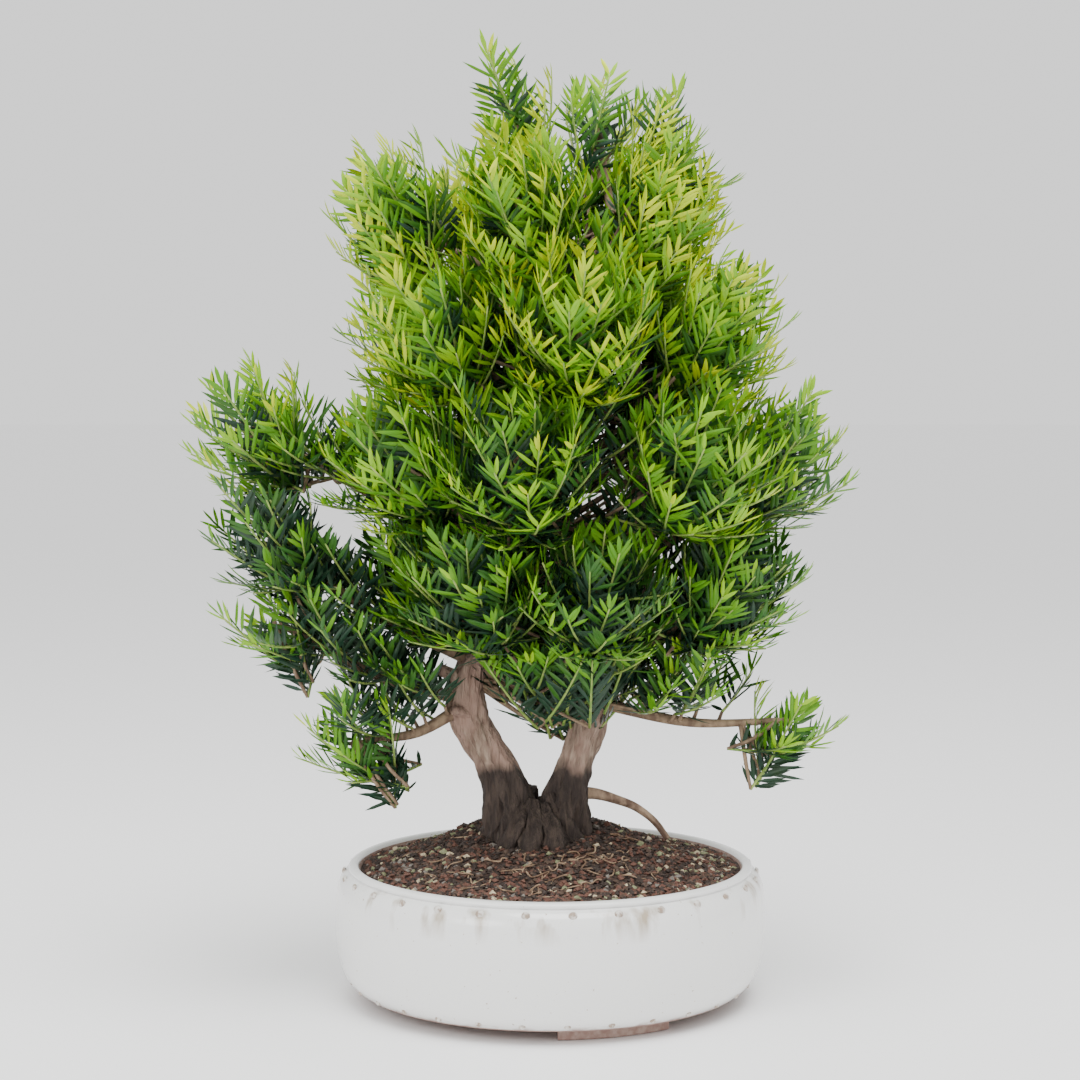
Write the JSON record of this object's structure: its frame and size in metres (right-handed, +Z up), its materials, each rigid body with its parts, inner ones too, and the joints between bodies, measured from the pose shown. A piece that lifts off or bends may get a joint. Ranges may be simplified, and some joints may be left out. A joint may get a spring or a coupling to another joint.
{
  "type": "potted yew bonsai",
  "caption": "Twin-stemmed yew bonsai with upright needle sprays, on a soil mound in a low round glazed pot on feet.",
  "frame": {"origin": "middle of the whole plant's box, on the plane that the pot's feet stand on", "axes": "+Z up; the picture's view looks along +Y, so -Y is the front and +X is to the right in the picture"},
  "size_m": [0.4622, 0.3253, 0.6515],
  "materials": {
    "white_glaze": "gloss",
    "soil": "rough",
    "bark": "rough",
    "needles": "satin"
  },
  "bodies": {
    "root": {"bough_flank_1": "bark", "bough_flank_2": "bark", "bough_flank_3": "bark", "bough_flank_4": "bark", "bough_flank_5": "bark", "bough_flank_6": "bark", "bough_flank_7": "bark", "bough_left_bough_upper": "bark", "bough_right_drop": "bark", "bough_skirt_1": "bark", "bough_skirt_2": "bark", "bough_skirt_3": "bark", "bough_skirt_4": "bark", "bough_skirt_5": "bark", "bough_skirt_6": "bark", "bough_skirt_7": "bark", "flank_1": "needles", "flank_2": "needles", "flank_3": "needles", "flank_4": "needles", "flank_5": "needles", "flank_6": "needles", "flank_7": "needles", "left_bough_lower": "needles", "left_bough_tip": "needles", "left_bough_upper": "needles", "left_drop": "needles", "left_stem": "bark", "pot": "white_glaze", "right_drop": "needles", "right_stem": "bark", "shoulder_1": "needles", "shoulder_2": "needles", "shoulder_3": "needles", "shoulder_4": "needles", "shoulder_5": "needles", "shoulder_6": "needles", "skirt_1": "needles", "skirt_2": "needles", "skirt_3": "needles", "skirt_4": "needles", "skirt_5": "needles", "skirt_6": "needles", "skirt_7": "needles", "soil": "soil", "surface_root": "bark", "top_left": "needles", "top_middle": "needles", "top_right": "needles", "trunk": "bark", "upper_1": "needles", "upper_2": "needles", "upper_3": "needles", "upper_4": "needles", "upper_5": "needles"}
  },
  "joints": []
}
